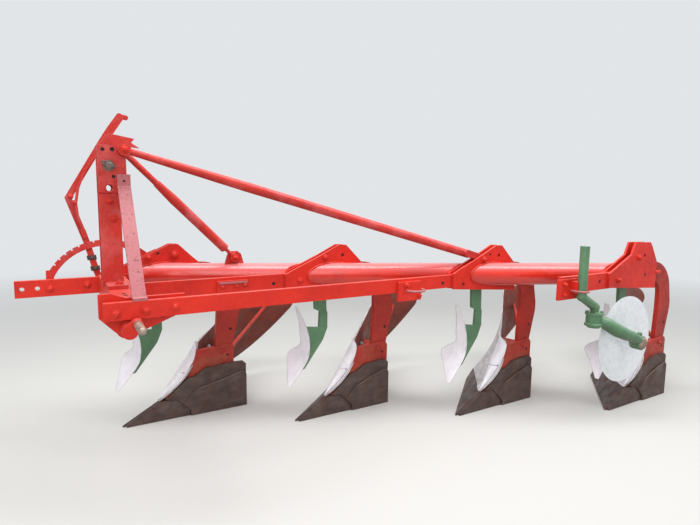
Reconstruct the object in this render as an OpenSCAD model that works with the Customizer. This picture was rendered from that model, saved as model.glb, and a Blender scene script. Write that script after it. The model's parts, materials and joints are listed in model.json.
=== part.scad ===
// Four-furrow mounted moldboard plough, standing on its shares and landsides.
// +X is the direction of travel, +Y the unploughed land side and +Z up, in millimetres.
// Every piece is drawn from the peak of the first bracket at ground level, and rig() then
// moves that point so that the origin lies under the middle of the whole plough.

/* [Furrows] */
// Width that one body ploughs
furrow_w = 356; // [330:1:400]
// Distance along the beam from one body to the next
body_pitch = 778; // [740:1:840]

/* [Brackets] */
// Height of the underside of the flat bars above the ground
bar_z = 690; // [670:1:720]
// Height of a flat bar
bar_h = 85; // [76:1:94]
// Height of the underside of the first bar
bar1_z = 688; // [686:1:694]
// Height of the first bar
bar1_h = 76; // [70:1:84]
// Height of the underside of the third bar
bar3_z = 702; // [696:1:708]
// Height of the third bar
bar3_h = 65; // [60:1:74]
// Thickness of a flat bar and of the leg beside it
bar_t = 25; // [20:1:32]
// Thickness of each bracket plate
plate_t = 12; // [10:1:15]
// Height of the rounded peak of a bracket
peak_z = 915; // [895:1:935]
// Radius of the rounded peak
peak_r = 36; // [30:1:42]
// Length of a bracket plate in front of its peak
plate_front = 321; // [300:1:340]
// Length of a bracket plate behind its peak
plate_rear = 136; // [125:1:150]
// Front end of the first bar
bar1_front = 678; // [640:1:720]
// Front end of the third bar, at the headstock
bar3_front = 384; // [370:1:400]
// Length of the last bar in front of its bracket peak
bar4_reach = 704; // [680:1:730]
// Length of a bar held between its bracket plates
bar_lap = 150; // [120:1:170]

/* [Frame tubes] */
// Outside diameter of the beam tubes
tube_d = 120; // [108:1:127]
// Wall of the beam tubes
tube_wall = 10; // [6:1:14]
// Height of the tube axis
tube_z = 757; // [750:1:765]
// Place of a tube's front end behind the front of the bracket peak
tube_start = 56; // [40:1:70]

/* [Headstock] */
// Front face of the cross beam
beam_front = 345; // [335:1:352]
// Depth of the cross beam along the plough
beam_depth = 104; // [90:1:120]
// Front edge of the land side lobe plate
lobe_front = 396; // [386:1:404]
// Gap between the land side lobe plate and the third bar
lobe_gap = 20; // [14:1:26]
// Thickness of the lobe plates
lobe_t = 15; // [12:1:18]
// Radius of the lobe around the cross shaft
lobe_r = 40; // [38:1:44]
// Cross shaft axis, forward of the first peak
shaft_x = 303; // [300:1:306]
// Cross shaft axis above the ground
shaft_z = 663; // [658:1:663]
// Diameter of the cross shaft in its lobes
shaft_d = 40; // [36:1:40]
// Diameter of the lower link pins
link_pin_d = 28.7; // [28:0.1:29]
// Distance of the link pins from the shaft axis
crank_throw = 37; // [32:1:38]
// Length of each lower link pin
link_pin_len = 125; // [110:1:135]
// Distance between the shoulders of the lower link pins
link_span = 825; // [815:1:835]
// Radial clearance of the cross shaft in its lobes
shaft_gap = 0.1; // [0.05:0.01:0.1]

/* [Mast] */
// Height of the top of the mast
mast_top = 1347; // [1320:1:1370]
// Outside width of the mast across the plough
mast_w = 74; // [70:1:76]
// Thickness of the mast channel
mast_t = 8; // [6:1:10]
// Front edge of the mast
mast_front = 354; // [348:1:360]
// Depth of the mast channel
mast_depth = 80; // [76:1:90]
// Height of the upper top link hole
top_hole_z = 1265; // [1255:1:1275]
// Diameter of the top link holes
top_hole_d = 25.7; // [25.4:0.1:26]

/* [Lever] */
// Outer radius of the notched quadrant
quadrant_r = 275; // [268:1:282]
// Width of the quadrant bar
quadrant_w = 30; // [26:1:34]
// Thickness of the quadrant bar
quadrant_t = 8; // [8:1:10]
// Height of the top of the hand lever
lever_top = 1539; // [1500:1:1560]

/* [Bodies] */
// Thickness of the moldboard
mold_t = 8; // [6:1:10]
// Depth of the hollow across the moldboard
mold_hollow = 62; // [40:1:80]
// Thickness of the landside
land_t = 15; // [12:1:18]
// Extra thickness of the landside's lower bar
heel_bar_t = 8; // [5:1:10]
// Thickness of the share
share_t = 10; // [8:1:14]
// Reach of the share point in front of the bracket peak
point_x = 270; // [250:1:290]

/* [Disc coulter] */
// Diameter of the disc
disc_d = 470; // [440:1:480]
// Thickness of the disc
disc_t = 5; // [4:1:7]
// Diameter of the coulter stem
stem_d = 45; // [40:1:50]
// Height of the top of the stem
stem_top = 933; // [900:1:960]
// Height of the disc centre
disc_z = 416; // [405:1:426]

/* [Hidden] */
$fn = 48;

// Play between a bar or tube and the hole around it
slip = 0.2;

// Colours of the finishes
paint_red = "firebrick";
paint_green = "seagreen";
bare_metal = "lightgray";
worn_steel = "dimgray";

// Sideways stack of a bracket: near plate, bar or leg, far plate
bar_y = -plate_t - bar_t;
far_y = bar_y - plate_t;
bar_top = bar_z + bar_h;
bar3_y = 2 * furrow_w + bar_y;
lobe_y = bar3_y - lobe_gap - lobe_t;

// Sideways stack at the far end of the cross shaft: quadrant, lever, crank
quadrant_y = far_y - quadrant_t;
lever_t = 10;
lever_gap = 5.5;
lever_y = quadrant_y - lever_gap - lever_t;
crank_t = 16;
crank_r = 27;
crank_end_r = 20;
crank_angle = 47;
far_crank = lever_y - lever_gap - crank_t;
near_crank = far_crank + link_span - crank_t;
pin_x = shaft_x - crank_throw * cos(crank_angle);
pin_z = shaft_z + crank_throw * sin(crank_angle);

// Mast and its cheek doublers
mast_y = far_crank + link_span / 2;
doubler_t = 6;
cheek_y = mast_y + mast_w / 2 + doubler_t;

// Moves a piece from the first bracket peak to the middle of the plough
module rig() translate([-mid_x, -mid_y, 0]) children();

// Moves a piece to body n of the row
module at_body(n) translate([-(n - 1) * body_pitch, (n - 1) * furrow_w, 0]) children();

// Stands an outline drawn in X and Z upright, from y0 over thickness t towards the land side
module upright(y0, t) translate([0, y0 + t, 0]) rotate([90, 0, 0]) linear_extrude(t) children();

// Carries an outline drawn in Y and Z forward, from x0 over length t
module across(x0, t) translate([x0, 0, 0]) rotate([90, 0, 90]) linear_extrude(t) children();

// Round bar between two points
module rod(a, b, d) {
    v = b - a;
    len = norm(v);
    translate(a) rotate([0, acos(v.z / len), atan2(v.y, v.x)]) cylinder(h = len, d = d);
}

// Turned bar from a towards b, through steps that each give a share of the way and a diameter
module turned(a, b, steps) {
    v = b - a;
    len = norm(v);
    outline = [for (s = steps) [s[1] / 2, s[0] * len]];
    translate(a) rotate([0, acos(v.z / len), atan2(v.y, v.x)]) rotate_extrude()
        polygon(concat([[0, outline[0].y]], outline, [[0, outline[len(steps) - 1].y]]));
}

// Bent round bar through a list of points, a little fuller at each bend
elbow = 1.06;
module bent_rod(pts, d) {
    for (i = [0:len(pts) - 2]) rod(pts[i], pts[i + 1], d);
    for (i = [1:len(pts) - 2]) translate(pts[i]) sphere(d = elbow * d);
}

// Points of an arc about c, from angle a0 to a1
function arc(c, r, a0, a1, steps) =
    [for (i = [0:steps]) let (a = a0 + (a1 - a0) * i / steps) c + r * [cos(a), sin(a)]];

// Flat outline of a bar w wide through a list of points, mitred at its bends and round at its ends
module bent_bar(pts, w) {
    last = len(pts) - 1;
    heading = [for (i = [0:last - 1]) let (v = pts[i + 1] - pts[i]) atan2(v.y, v.x)];
    function corner(i, side) = let (turn = (heading[i] - heading[i - 1]) / 2, a = heading[i] - turn + 90 * side)
        pts[i] + w / 2 / cos(turn) * [cos(a), sin(a)];
    polygon(concat(
        [for (i = [1:1:last - 1]) corner(i, 1)],
        arc(pts[last], w / 2, heading[last - 1] + 90, heading[last - 1] - 90, 12),
        [for (i = [last - 1:-1:1]) corner(i, -1)],
        arc(pts[0], w / 2, heading[0] - 90, heading[0] - 270, 12)
    ));
}

// Pin or bore along Y
module cross_hole(x, y0, z, d, len) translate([x, y0 + len, z]) rotate([90, 0, 0]) cylinder(h = len, d = d);

// Straight and curved lines through space
function mix(a, b, t) = (1 - t) * a + t * b;
function quad(a, b, c, t) = (1 - t) * (1 - t) * a + 2 * t * (1 - t) * b + t * t * c;

// Solid between a grid of points and the same grid moved by t
module sheet(grid, t) {
    nu = len(grid);
    nv = len(grid[0]);
    pts = concat([for (r = grid) for (p = r) p], [for (r = grid) for (p = r) p + t]);
    n = nu * nv;
    function id(i, j) = i * nv + j;
    polyhedron(pts, concat(
        [for (i = [0:nu - 2]) for (j = [0:nv - 2]) each
            [[id(i, j), id(i + 1, j), id(i + 1, j + 1)], [id(i, j), id(i + 1, j + 1), id(i, j + 1)]]],
        [for (i = [0:nu - 2]) for (j = [0:nv - 2]) each
            [[n + id(i, j), n + id(i + 1, j + 1), n + id(i + 1, j)], [n + id(i, j), n + id(i, j + 1), n + id(i + 1, j + 1)]]],
        [for (i = [0:nu - 2]) each [[id(i, 0), n + id(i + 1, 0), id(i + 1, 0)], [id(i, 0), n + id(i, 0), n + id(i + 1, 0)],
            [id(i, nv - 1), id(i + 1, nv - 1), n + id(i + 1, nv - 1)], [id(i, nv - 1), n + id(i + 1, nv - 1), n + id(i, nv - 1)]]],
        [for (j = [0:nv - 2]) each [[id(0, j), id(0, j + 1), n + id(0, j + 1)], [id(0, j), n + id(0, j + 1), n + id(0, j)],
            [id(nu - 1, j), n + id(nu - 1, j + 1), id(nu - 1, j + 1)], [id(nu - 1, j), n + id(nu - 1, j), n + id(nu - 1, j + 1)]]]
    ));
}

// Space in front of the back face of a sheet, to cut what carries the sheet
room_depth = 90;
module room(grid, t) {
    way = t / norm(t);
    sheet([for (r = grid) [for (p = r) p - room_depth * way]], t + room_depth * way);
}

// Outline of an ordinary bracket plate
plate_pts = [
    [plate_front, bar_z + 3], [plate_front, bar_top - 3], [plate_front - 32, bar_top + 13],
    [126, peak_z - 56], [18, peak_z - 4], [-24, peak_z - 6], [-128, 808],
    [-plate_rear, 661], [-plate_rear, bar_z - 35]
];
// Outline of the last bracket plate, whose peak is flat
last_pts = [
    [plate_front, bar_z + 5], [plate_front, bar_top - 3], [plate_front - 10, bar_top],
    [125, peak_z - 50], [93, peak_z + 17], [-56, peak_z + 14], [-79, peak_z - 15],
    [-plate_rear, 813], [-plate_rear, bar_z - 29]
];

module bracket_plate(n, y0) {
    difference() {
        upright(y0, plate_t) polygon(n == 4 ? last_pts : plate_pts);
        cross_hole(-3, y0 - 1, 855, 20, plate_t + 2);
    }
}

// Underside and height of each bar
function bar_low(n) = n == 1 ? bar1_z : n == 3 ? bar3_z : bar_z;
function bar_height(n) = n == 1 ? bar1_h : n == 3 ? bar3_h : bar_h;

// Where each bar begins along the plough, from its own bracket peak
function bar_end(n) = n == 1 ? bar1_front
    : n == 2 ? beam_front - beam_depth + body_pitch
    : n == 3 ? bar3_front + 2 * body_pitch : bar4_reach;

module bracket(n) {
    color(paint_red) at_body(n) {
        bracket_plate(n, -plate_t);
        bracket_plate(n, far_y);
        difference() {
            translate([plate_front - bar_lap, bar_y, bar_low(n)])
                cube([bar_end(n) - plate_front + bar_lap, bar_t, bar_height(n)]);
            // Holes for a coulter's clamp
            if (n == 1) for (x = [650, 591]) cross_hole(x, bar_y - 1, bar1_z + bar1_h / 2, 20, bar_t + 2);
        }
    }
}

// Beam tube n, cut flush on the near plate of bracket n and the far plate of the next one
module tube_line(n, d) {
    at_body(n) rod([tube_start + body_pitch, -furrow_w, tube_z], [tube_start - 2 * body_pitch, 2 * furrow_w, tube_z], d);
}

module beam_tube(n) {
    color(paint_red) difference() {
        intersection() {
            tube_line(n, tube_d);
            at_body(n) translate([-2 * body_pitch, 0, 0]) cube([4 * body_pitch, furrow_w + far_y, 2 * tube_z]);
        }
        tube_line(n, tube_d - 2 * tube_wall);
    }
}

// Plate that carries the cross shaft, with its own front edge, front top and rear end
module lobe_plate(y, front_x, front_top, rear_x) {
    difference() {
        upright(y, lobe_t) union() {
            polygon([[front_x, front_top], [front_x, bar_z + 16], [shaft_x + 40, shaft_z - 14],
                [shaft_x - 30, shaft_z - 25], [rear_x + 40, bar_z], [rear_x, bar_top],
                [front_x - 90, bar_top], [front_x - 44, front_top]]);
            translate([shaft_x, shaft_z]) circle(r = lobe_r);
        }
        cross_hole(shaft_x, y - 1, shaft_z, shaft_d + 2 * shaft_gap, lobe_t + 2);
    }
}

module cross_beam() {
    spacer_d = 50;
    color(paint_red) {
        translate([beam_front - beam_depth, lobe_t, bar_z]) cube([beam_depth, lobe_y - lobe_t, bar_h]);
        lobe_plate(0, beam_front, bar_top, 206);
        lobe_plate(lobe_y, lobe_front, bar_top + 18, 95);
        // Spacers between the lobe plate and the third bar
        for (x = [345, 244, 142]) cross_hole(x, lobe_y + lobe_t, bar3_z + bar3_h / 2, spacer_d, lobe_gap);
    }
}

module crank(y) {
    upright(y, crank_t) union() {
        bent_bar([[shaft_x, shaft_z], [pin_x, pin_z]], 2 * crank_end_r);
        translate([shaft_x, shaft_z]) circle(r = crank_r);
    }
}

module cross_shaft() {
    color(bare_metal) {
        cross_hole(shaft_x, far_crank, shaft_z, shaft_d, link_span);
        crank(far_crank);
        crank(near_crank);
        for (y = [far_crank - link_pin_len, near_crank + crank_t])
            cross_hole(pin_x, y, pin_z, link_pin_d, link_pin_len);
    }
}

module mast() {
    foot_t = 15;
    foot_half = 140;
    foot_depth = 75;
    doubler_h = 190;
    doubler_rear = 25;
    back_x = mast_front - mast_depth;
    color(paint_red) difference() {
        union() {
            difference() {
                translate([back_x, mast_y - mast_w / 2, bar_top])
                    cube([mast_depth, mast_w, mast_top - bar_top]);
                translate([back_x + mast_t, mast_y - mast_w / 2 + mast_t, bar_top + foot_t])
                    cube([mast_depth, mast_w - 2 * mast_t, mast_top]);
            }
            for (side = [-1, 1])
                translate([back_x - doubler_rear, mast_y + side * (mast_w + doubler_t) / 2 - doubler_t / 2, mast_top - doubler_h])
                    cube([mast_depth + doubler_rear, doubler_t, doubler_h]);
            translate([beam_front - foot_depth, mast_y - foot_half, bar_top]) cube([foot_depth, 2 * foot_half, foot_t]);
        }
        for (z = [top_hole_z, top_hole_z - 89])
            cross_hole(mast_front - 40, mast_y - mast_w, z, top_hole_d, 2 * mast_w);
    }
}

module mast_hook() {
    color(paint_red) upright(mast_y - mast_w / 2 + mast_t, 10)
        polygon([[340, 1290], [340, 1352], [308, 1400], [206, 1384], [219, 1367], [186, 1346], [284, 1352], [284, 1290]]);
}

module top_link_pin() {
    color(bare_metal) cross_hole(mast_front - 40, mast_y - 74, top_hole_z, top_hole_d - 0.1, 148);
}

// Bent flat brace from the mast's cheek down to the top of the third bar
module side_brace() {
    strap = 10;
    seat = bar3_z + bar3_h;
    inner = lobe_y + lobe_t + 1;
    color("indianred") across(236, 50) polygon([
        [cheek_y, 1232], [cheek_y, 1180], [inner, bar_top + 4], [inner, seat],
        [bar3_y + bar_t, seat], [bar3_y + bar_t, seat + strap], [inner + 12, seat + strap],
        [cheek_y + strap, 1186], [cheek_y + strap, 1232]
    ]);
}

module quadrant() {
    color(paint_red) {
        upright(quadrant_y, quadrant_t) {
            difference() {
                intersection() {
                    translate([shaft_x, shaft_z]) circle(r = quadrant_r);
                    polygon([[138, 1000], [104, 868], [120, 830], [shaft_x, shaft_z], [600, 784], [600, 1000]]);
                }
                translate([shaft_x, shaft_z]) circle(r = quadrant_r - quadrant_w);
                // Notches for the latch
                for (a = [30:7:86]) translate([shaft_x, shaft_z]) rotate(a)
                    translate([quadrant_r - 8, -3.5]) square([20, 7]);
            }
            bent_bar([[128, 846], [75, 868]], 32);
            translate([524, bar_z + 14]) square([32, 98]);
        }
        // Pad that brings the front foot against the bar
        translate([524, far_y, bar_z + 14]) cube([32, plate_t, bar1_h - 23]);
    }
}

// Centre line of the hand lever in X and Z
lever_pts = [[shaft_x, shaft_z], [348, 790], [384, 932], [450, 1134], [301, 1396], [261, 1462], [218, lever_top - 14]];

module lever() {
    color(paint_red) difference() {
        union() {
            upright(lever_y, lever_t) {
                bent_bar(lever_pts, 28);
                translate([shaft_x, shaft_z]) circle(r = shaft_d / 2 + 12);
            }
            upright(lever_y, lever_t) bent_bar([[218, lever_top - 14], [190, lever_top - 19]], 22);
        }
        cross_hole(shaft_x, lever_y - 1, shaft_z, shaft_d, lever_t + 2);
    }
}

module latch_rod() {
    color(paint_red) upright(lever_y + lever_t, 11) {
        bent_bar([[206, 1517], [250, 1449], [326, 1342], [377, 1262], [408, 1182], [420, 1110], [415, 1050], [387, 952]], 12);
        bent_bar([[397, 985], [388, 956]], 22);
    }
}

// Brace tubes, swaged down to a neck at the mast
brace_d = 44;
neck_d = 27;
eye_d = 50;
eye_t = 34;

module brace_upper() {
    far_end = [-2 * body_pitch + 103, 2 * furrow_w - plate_t - bar_t / 2, peak_z - 72];
    near_end = [mast_front - 97, cheek_y + eye_t / 2 + 2, mast_top - 18];
    color(paint_red) {
        cross_hole(near_end.x, cheek_y, near_end.z, eye_d, eye_t);
        turned(near_end, far_end, [[0, neck_d], [0.28, brace_d], [0.95, brace_d]]);
        // Flattened end between the plates of the third bracket
        upright(far_end.y - 10, 20) bent_bar([[far_end.x, far_end.z], [far_end.x + 110, far_end.z + 31]], 36);
    }
}

// Foot of the lower brace, on the first beam tube
brace_foot = [-265, 147, 846];
lug_t = 14;
module brace_lower() {
    top_end = [244, mast_y - mast_w / 2 - doubler_t - eye_t / 2, mast_top - 17];
    color(paint_red) {
        turned(top_end, brace_foot, [[0, neck_d], [0.26, neck_d], [0.26, neck_d + 6], [0.4, brace_d], [0.9, brace_d]]);
        cross_hole(top_end.x, top_end.y - eye_t / 2, top_end.z, eye_d - 4, eye_t);
        cross_hole(brace_foot.x, brace_foot.y + lug_t / 2, brace_foot.z, eye_d, 16);
        rod(mix(top_end, brace_foot, 0.88) + [0, 4, 0], brace_foot + [3, 17, 3], 18);
    }
}

module brace_lug() {
    color(paint_red) difference() {
        upright(brace_foot.y - lug_t / 2, lug_t) translate([brace_foot.x, 0])
            polygon([[54, 795], [34, 864], [16, 878], [-16, 878], [-34, 864], [-54, 795]]);
        tube_line(1, tube_d + slip);
    }
}

// Disc coulter, measured from the peak of the last bracket
stem_x = 614;
stem_y = 42;
swivel_x = 500;
swivel_d = 34;
collar_d = 60;
arm_seat = 521;
disc_x = 224;
disc_y = 52;
axle_d = 30;
hub_y = disc_y + 50;
arm_boss = 58;

// Where the clamp for a coulter sits on each bar: length in X, then its lower and upper edge
clamp_x = [0, 515, 533, 585];
clamp_len = [0, 147, 138, 156];
clamp_low = [0, 708, 660, 664];
clamp_high = [0, 762, 754, 766];
module coulter_clamp(n) {
    i = n - 1;
    color(paint_red) at_body(n) difference() {
        union() {
            translate([clamp_x[i], -plate_t, clamp_low[i]]) cube([clamp_len[i], 14, clamp_high[i] - clamp_low[i]]);
            if (n == 4) translate([stem_x - 32, 0, 697]) cube([64, stem_y - 6, 58]);
        }
        if (n == 4) translate([stem_x, stem_y, 600]) cylinder(h = 300, d = stem_d + slip);
    }
}

// Outline of a curved leg in X and Z: over its back, down to the frog and up again inside the bend
module leg_outline() {
    bend = [-135, 622];
    polygon(concat(
        [[40, 700], [40, 890], [-30, 900]],
        arc(bend, 190, 88, 172, 16),
        [[-333, 600], [-341, 565], [-341, 521], [-309, 383], [-300, 345], [-311, 130], [-203, 130],
            [-208, 387], [-216, 530]],
        arc(bend, 79, 178, 92, 12)
    ));
}

module leg(n) {
    color(paint_red) at_body(n) difference() {
        upright(bar_y, bar_t) leg_outline();
        cross_hole(-3, bar_y - 1, 855, 20, bar_t + 2);
    }
}

tail_x = -835;
share_tip = [point_x, -4, 8];
share_top = [96, -8, 104];
share_wing = [-225, -372, 74];
share_heel = [-178, -383, 8];
share_back = share_t * [-0.45, 0.35, -0.8];
mold_back = mold_t * [-0.62, 0.70, -0.36];
shin_top = [-122, -73, 370];
shoulder_top = [-496, -400, 560];
// Edges of the moldboard: along the share, then free to the tail, and along the top
function mold_low(u) = u < 0.4 ? mix(share_top, share_wing, u / 0.4)
    : quad(share_wing, [-500, -450, 110], [tail_x, -450, 420], (u - 0.4) / 0.6);
function mold_high(u) = u < 0.6 ? mix(shin_top, shoulder_top, u / 0.6)
    : quad(shoulder_top, [-640, -500, 600], [tail_x - 5, -470, 530], (u - 0.6) / 0.4);
function mold_pt(u, v) = mix(mold_low(u), mold_high(u), v)
    + 4 * v * (1 - v) * mold_hollow * (1 - 0.6 * u) * [-0.656, 0.755, 0];
mold_grid = [for (i = [0:14]) [for (j = [0:7]) mold_pt(i / 14, j / 7)]];
share_grid = [for (i = [0:4]) [for (j = [0:3]) mix(mix(share_tip, share_heel, i / 4), mix(share_top, share_wing, i / 4), j / 3)]];

// Middle of the plough's box, measured from the first bracket peak
rear_end = min([for (r = mold_grid) for (p = r) p.x]) + mold_back.x - 3 * body_pitch;
right_end = min([for (r = mold_grid) for (p = r) p.y]);
left_end = 3 * furrow_w + hub_y + arm_boss;
mid_x = (bar1_front + rear_end) / 2;
mid_y = (left_end + right_end) / 2;

module moldboard(n) {
    color(paint_red) at_body(n) sheet(mold_grid, mold_back);
}

module share(n) {
    color(worn_steel) at_body(n) {
        sheet(share_grid, share_back);
        // Land side of the share
        difference() {
            upright(-10, 22) polygon([[250, 0], [250, 12], [96, 100], [10, 100], [-60, 30], [-60, 0]]);
            room(share_grid, share_back / 2);
        }
    }
}

// Frog between leg, landside, share and moldboard, cut to the backs of the last two
module frog(n) {
    color(paint_red) at_body(n) difference() {
        union() {
            upright(-plate_t, plate_t) polygon([[-66, 30], [-60, 30], [10, 100], [40, 100], [-110, 316],
                [-176, 344], [-272, 356], [-292, 350], [-302, 334], [-300, 30]]);
            upright(bar_y, -bar_y) polygon([[-203, 30], [-60, 30], [10, 100], [60, 100], [60, 135],
                [-30, 230], [-100, 338], [-203, 344]]);
            for (z = [150, 300]) translate([0, 0, z]) linear_extrude(12)
                polygon([[-312, bar_y], z == 150 ? [60, bar_y] : [-70, bar_y],
                    z == 150 ? [-210, -310] : [-250, -230], z == 150 ? [-240, -290] : [-290, -215], [-312, -120]]);
            rod([-290, bar_y - 12, 306], [-680, -464, 452], 22);
        }
        room(mold_grid, mold_back);
        room(share_grid, share_back);
    }
}

module landside(n) {
    back = n == 1 ? -366 : -300;
    color(worn_steel) at_body(n) {
        upright(0, land_t) polygon([[-62, 0], [-62, 31], [8, 101], [60, 106], [16, 150], [-52, 205], [-88, 209], [-141, 243],
            [back + 66, 254], [back + 16, 252], [back, 236], [back, 0]]);
        // Thicker bar along the sole
        upright(0, land_t + heel_bar_t) polygon([[-62, 0], [-62, 31], [-24, 69], [-80, 130], [-117, 145],
            [back + 30, 198], [back + 8, 194], [back, 178], [back, 0]]);
    }
}

skim_back = [-3.7, 4.2, -2.2];
// Rows of a skimmer blade from its tip upwards: land edge, then wing edge
skim_rows = [
    [[285, -46, 172], [288, -60, 172]],
    [[215, -48, 252], [264, -112, 246]],
    [[176, -49, 312], [236, -168, 318]],
    [[166, -50, 372], [206, -98, 376]],
    [[170, -50, 425], [206, -94, 436]],
    [[186, -50, 482], [211, -90, 500]],
    [[236, -52, 592], [230, -66, 594]]
];
skim_grid = [for (i = [0:4]) [for (row = skim_rows) mix(row[0], row[1], i / 4)]];

// Where the stem stops short of the blade's back
blade_seat = [1.9, 1.4];
module skimmer_stem(n) {
    seat = [for (i = [1:5]) [skim_rows[i][0].x - blade_seat.x, skim_rows[i][0].z - blade_seat.y]];
    color(paint_green) at_body(n) upright(far_y - 16, 16) polygon(concat(
        [[140, 695], [68, 695], [64, 560], [58, 545], [58, 464], [84, 400], [192, 256]],
        seat,
        [[108, 470], [104, 556], [134, 570]]
    ));
}

module skimmer_blade(n) {
    color("gainsboro") at_body(n) sheet(skim_grid, skim_back);
}

module coulter_stem() {
    color(paint_green) at_body(4) {
        translate([stem_x, stem_y, 690]) cylinder(h = stem_top - 690, d = stem_d);
        bent_rod([[stem_x, stem_y, 720], [stem_x, stem_y, 680], [swivel_x, stem_y, 618], [swivel_x, stem_y, 600]], stem_d);
        translate([swivel_x, stem_y, 520]) cylinder(h = 100, d = swivel_d);
        translate([swivel_x, stem_y, 512]) cylinder(h = 8, d = collar_d);
    }
}

// Bends of the cast arm, from the swivel to the hub
arm_elbow = [428, 106, 506];
arm_wrist = [disc_x + 58, hub_y + 26, disc_z + 40];
module coulter_arm() {
    color(paint_green) at_body(4) difference() {
        union() {
            translate([swivel_x, stem_y, arm_seat]) cylinder(h = 70, d = 88);
            rod([swivel_x, stem_y + 8, 552], arm_elbow, 62);
            translate(arm_elbow) sphere(d = 66);
            rod(arm_elbow, arm_wrist, 58);
            translate(arm_wrist) sphere(d = 61);
            rod(arm_wrist, [disc_x, hub_y + 32, disc_z], 50);
            cross_hole(disc_x, hub_y, disc_z, 76, arm_boss);
            cross_hole(disc_x, disc_y - 26, disc_z, axle_d, 80);
            cross_hole(disc_x, disc_y - 36, disc_z, 50, 16);
        }
        translate([swivel_x, stem_y, arm_seat - 60]) cylinder(h = 160, d = swivel_d + slip);
        // Room for the collar that the arm turns on
        translate([swivel_x, stem_y, arm_seat - 60]) cylinder(h = 60, d = collar_d + 6);
    }
}

module coulter_disc() {
    color("gainsboro") at_body(4) difference() {
        union() {
            cross_hole(disc_x, disc_y - disc_t / 2, disc_z, disc_d, disc_t);
            cross_hole(disc_x, disc_y - 18, disc_z, 96, 62);
        }
        cross_hole(disc_x, disc_y - 40, disc_z, axle_d + 0.2, 120);
    }
}

rig() cross_beam();
rig() mast();
rig() mast_hook();
rig() top_link_pin();
rig() side_brace();
rig() quadrant();
rig() cross_shaft();
rig() lever();
rig() latch_rod();
rig() bracket(1);  // bracket_1
rig() bracket(2);  // bracket_2
rig() bracket(3);  // bracket_3
rig() bracket(4);  // bracket_4
rig() beam_tube(1);  // tube_1
rig() beam_tube(2);  // tube_2
rig() beam_tube(3);  // tube_3
rig() brace_upper();
rig() brace_lower();
rig() brace_lug();
rig() coulter_clamp(2);  // coulter_clamp_2
rig() coulter_clamp(3);  // coulter_clamp_3
rig() coulter_clamp(4);  // coulter_clamp_4
rig() leg(1);  // leg_1
rig() leg(2);  // leg_2
rig() leg(3);  // leg_3
rig() leg(4);  // leg_4
rig() frog(1);  // frog_1
rig() frog(2);  // frog_2
rig() frog(3);  // frog_3
rig() frog(4);  // frog_4
rig() landside(1);  // landside_1
rig() landside(2);  // landside_2
rig() landside(3);  // landside_3
rig() landside(4);  // landside_4
rig() share(1);  // share_1
rig() share(2);  // share_2
rig() share(3);  // share_3
rig() share(4);  // share_4
rig() moldboard(1);  // moldboard_1
rig() moldboard(2);  // moldboard_2
rig() moldboard(3);  // moldboard_3
rig() moldboard(4);  // moldboard_4
rig() skimmer_stem(1);  // skimmer_stem_1
rig() skimmer_stem(2);  // skimmer_stem_2
rig() skimmer_stem(3);  // skimmer_stem_3
rig() skimmer_stem(4);  // skimmer_stem_4
rig() skimmer_blade(1);  // skimmer_blade_1
rig() skimmer_blade(2);  // skimmer_blade_2
rig() skimmer_blade(3);  // skimmer_blade_3
rig() skimmer_blade(4);  // skimmer_blade_4
rig() coulter_stem();
rig() coulter_arm();
rig() coulter_disc();
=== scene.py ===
# %% [markdown]
# # Dressing a four-furrow plough
#
# The plough comes into Blender as a fixed frame: every solid at its real size, in metres, already
# grouped by the body that it moves with. This notebook gives each of those pieces its finish, adds the
# small fastenings that a frame drawing leaves out, and sets up the camera and the light.
#
# We load the frame first. Nothing that we add may make the plough larger.

import json
import math

import bmesh
import bpy
from mathutils import Matrix, Vector

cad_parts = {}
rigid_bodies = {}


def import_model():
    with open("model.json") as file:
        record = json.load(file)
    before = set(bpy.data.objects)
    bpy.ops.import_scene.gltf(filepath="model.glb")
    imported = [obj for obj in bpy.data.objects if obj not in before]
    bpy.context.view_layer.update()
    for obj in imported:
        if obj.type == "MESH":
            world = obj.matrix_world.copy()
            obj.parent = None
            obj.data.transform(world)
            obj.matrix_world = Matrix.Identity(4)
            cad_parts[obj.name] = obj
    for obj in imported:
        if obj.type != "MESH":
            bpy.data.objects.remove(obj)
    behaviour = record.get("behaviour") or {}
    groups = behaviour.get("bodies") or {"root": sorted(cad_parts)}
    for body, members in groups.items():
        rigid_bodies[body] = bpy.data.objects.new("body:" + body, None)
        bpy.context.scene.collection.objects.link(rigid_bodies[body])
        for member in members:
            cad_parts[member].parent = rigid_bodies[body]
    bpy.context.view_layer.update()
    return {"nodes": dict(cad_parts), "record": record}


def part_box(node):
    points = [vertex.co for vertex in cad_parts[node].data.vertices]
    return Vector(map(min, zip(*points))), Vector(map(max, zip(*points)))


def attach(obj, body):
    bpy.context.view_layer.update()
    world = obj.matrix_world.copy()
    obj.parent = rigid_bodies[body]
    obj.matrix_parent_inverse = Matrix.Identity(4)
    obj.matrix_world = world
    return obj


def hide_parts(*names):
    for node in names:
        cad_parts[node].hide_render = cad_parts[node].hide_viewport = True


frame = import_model()
print("pieces in the frame:", len(frame["nodes"]))

# %% [markdown]
# ## Where things are
#
# The frame puts its origin under the middle of the plough. A ploughman measures from a body instead:
# each of the four bodies hangs from its own bracket, and the brackets repeat at a fixed step back and
# to the side. So we find the peak of the first bracket and the step from the frame itself, and write
# every place in millimetres from the bracket that it belongs to.

# %% Find the brackets
MM = 0.001
BODIES = (1, 2, 3, 4)
# Reach of the first bar ahead of its bracket's peak
BAR_FRONT = 678 * MM

front_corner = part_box("bracket_1")[1]
first_peak = Vector((front_corner.x - BAR_FRONT, front_corner.y, 0))
body_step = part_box("leg_2")[0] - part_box("leg_1")[0]
body_step.z = 0


def at(n, x, y, z):
    """A place in millimetres from the peak of bracket n, as a point in the frame."""
    return first_peak + (n - 1) * body_step + Vector((x, y, z)) * MM


print("step from body to body in mm:", [round(v / MM) for v in body_step])

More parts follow.
